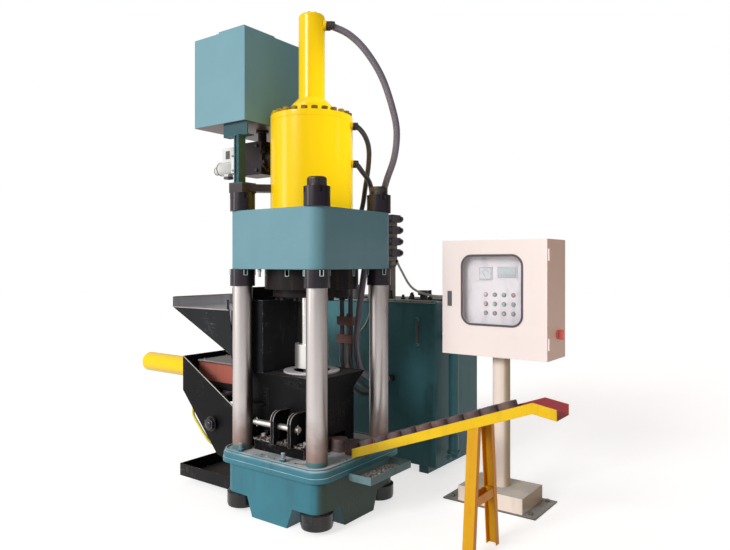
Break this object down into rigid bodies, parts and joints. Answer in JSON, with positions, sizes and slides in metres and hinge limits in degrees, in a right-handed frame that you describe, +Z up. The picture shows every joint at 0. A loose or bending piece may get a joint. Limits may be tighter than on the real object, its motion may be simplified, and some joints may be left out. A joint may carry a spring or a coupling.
{
  "type": "vertical briquetting press",
  "caption": "Four-column hydraulic press that feeds loose material from a hopper into a die, presses it and pushes the briquettes up a sloping chute.",
  "frame": {"origin": "on the floor, under the axis of the press", "axes": "+Z up along the axis of the press, +X the way the briquettes leave, -Y the operator's side"},
  "size_m": [3.557, 2.085, 3.245],
  "materials": {
    "teal": "worn teal enamel with dust and rust at the edges",
    "dark_teal": "dark teal enamel, oily and dusty",
    "yellow": "glossy yellow enamel",
    "black_steel": "black paint, dusty, worn bright at the edges",
    "bare_steel": "oil-darkened bare steel",
    "bright_steel": "turned steel",
    "chrome": "ground hard chrome",
    "cast_black": "painted cast iron",
    "worn_sheet": "scuffed grey sheet steel",
    "primer": "orange-red primer",
    "briquette": "pressed brown-grey fines",
    "valve_grey": "light grey paint",
    "black_plastic": "matt black plastic",
    "cream": "cream powder coat",
    "window": "clear pane",
    "rubber": "black rubber",
    "red_plastic": "red plastic",
    "lamp_plastic": "coloured translucent plastic",
    "hose_grey": "grey hose cover",
    "hose_yellow": "yellow hose cover",
    "cable": "light grey cable sheath"
  },
  "bodies": {
    "frame": {"base_casting": "teal", "columns": "chrome", "column_nuts": "black_steel", "top_beam": "teal", "main_cylinder": "yellow", "cylinder_ring_nut": "bare_steel", "gland_flange": "bare_steel", "gland_bolts": "bare_steel", "cover_bolts": "yellow", "fast_cylinder": "yellow", "guide_ring": "bright_steel", "die_housing": "black_steel", "die_sleeve": "bright_steel", "clamp_block": "black_steel", "clamp_shaft": "bright_steel", "hopper": "worn_sheet", "feed_frame": "black_steel", "feed_trough": "primer", "trough_lid": "worn_sheet", "feed_cylinder": "yellow", "ejector_cylinder": "black_steel", "oil_tray": "black_steel", "drip_tray": "teal", "chute_channel": "yellow", "chute_stand": "yellow", "chute_briquettes": "briquette", "prefill_tank": "teal", "tank_supports": "teal", "prefill_valve": "bare_steel", "valve_actuator": "valve_grey", "power_tank": "dark_teal", "valve_manifold": "worn_sheet", "solenoid_valves": "black_plastic", "electric_motor": "dark_teal", "oil_pump": "cast_black", "oil_cooler": "dark_teal", "cabinet_body": "cream", "control_panel": "cream", "pedestal": "cream", "indicator_lamps": "lamp_plastic", "fast_hose": "hose_grey", "cylinder_hose": "rubber", "side_hose": "rubber", "ejector_hose": "hose_yellow", "cabinet_cable": "cable", "hose_clamps": "black_plastic"},
    "plunger": {"main_plunger": "bright_steel", "punch": "bright_steel"},
    "feed_pusher": {"feed_pusher": "bare_steel"},
    "ejector_slide": {"ejector_slide": "bare_steel"},
    "cabinet_door": {"cabinet_door": "cream", "door_window": "window", "window_gasket": "rubber"},
    "door_lock": {"door_lock": "black_plastic"},
    "isolator_handle": {"isolator_handle": "red_plastic"},
    "motor_coupling": {"motor_coupling": "bright_steel"},
    "push_button_1": {"push_button_1": "red_plastic"},
    "push_button_2": {"push_button_2": "lamp_plastic"},
    "push_button_3": {"push_button_3": "lamp_plastic"},
    "push_button_4": {"push_button_4": "lamp_plastic"}
  },
  "joints": [
    {"name": "plunger_slide", "type": "slide", "parent": "frame", "child": "plunger", "axis": [0, 0, -1], "range_m": [-0.18, 0.205]},
    {"name": "feed_travel", "type": "slide", "parent": "frame", "child": "feed_pusher", "axis": [1, 0, 0], "range_m": [0, 0.43]},
    {"name": "ejector_travel", "type": "slide", "parent": "frame", "child": "ejector_slide", "axis": [-1, 0, 0], "range_m": [0, 0.18]},
    {"name": "door_hinge", "type": "hinge", "parent": "frame", "child": "cabinet_door", "pos_m": [1.3815, 0.641, 1.368], "axis": [0, 0, 1], "range_deg": [0, 110]},
    {"name": "lock_turn", "type": "hinge", "parent": "cabinet_door", "child": "door_lock", "pos_m": [0.693, 0.63, 1.35985], "axis": [0, 1, 0], "range_deg": [0, 90]},
    {"name": "isolator_turn", "type": "hinge", "parent": "frame", "child": "isolator_handle", "pos_m": [1.375, 0.8092, 1.14183], "axis": [1, 0, 0], "range_deg": [0, 90]},
    {"name": "motor_spin", "type": "hinge", "parent": "frame", "child": "motor_coupling", "pos_m": [-1.25, 1.3, 0.42], "axis": [1, 0, 0], "continuous": true},
    {"name": "button_1_press", "type": "slide", "parent": "frame", "child": "push_button_1", "axis": [0, 1, 0], "range_m": [0, 0.004], "stiffness_N_per_m": 200},
    {"name": "button_2_press", "type": "slide", "parent": "frame", "child": "push_button_2", "axis": [0, 1, 0], "range_m": [0, 0.004], "stiffness_N_per_m": 200},
    {"name": "button_3_press", "type": "slide", "parent": "frame", "child": "push_button_3", "axis": [0, 1, 0], "range_m": [0, 0.004], "stiffness_N_per_m": 200},
    {"name": "button_4_press", "type": "slide", "parent": "frame", "child": "push_button_4", "axis": [0, 1, 0], "range_m": [0, 0.004], "stiffness_N_per_m": 200}
  ]
}
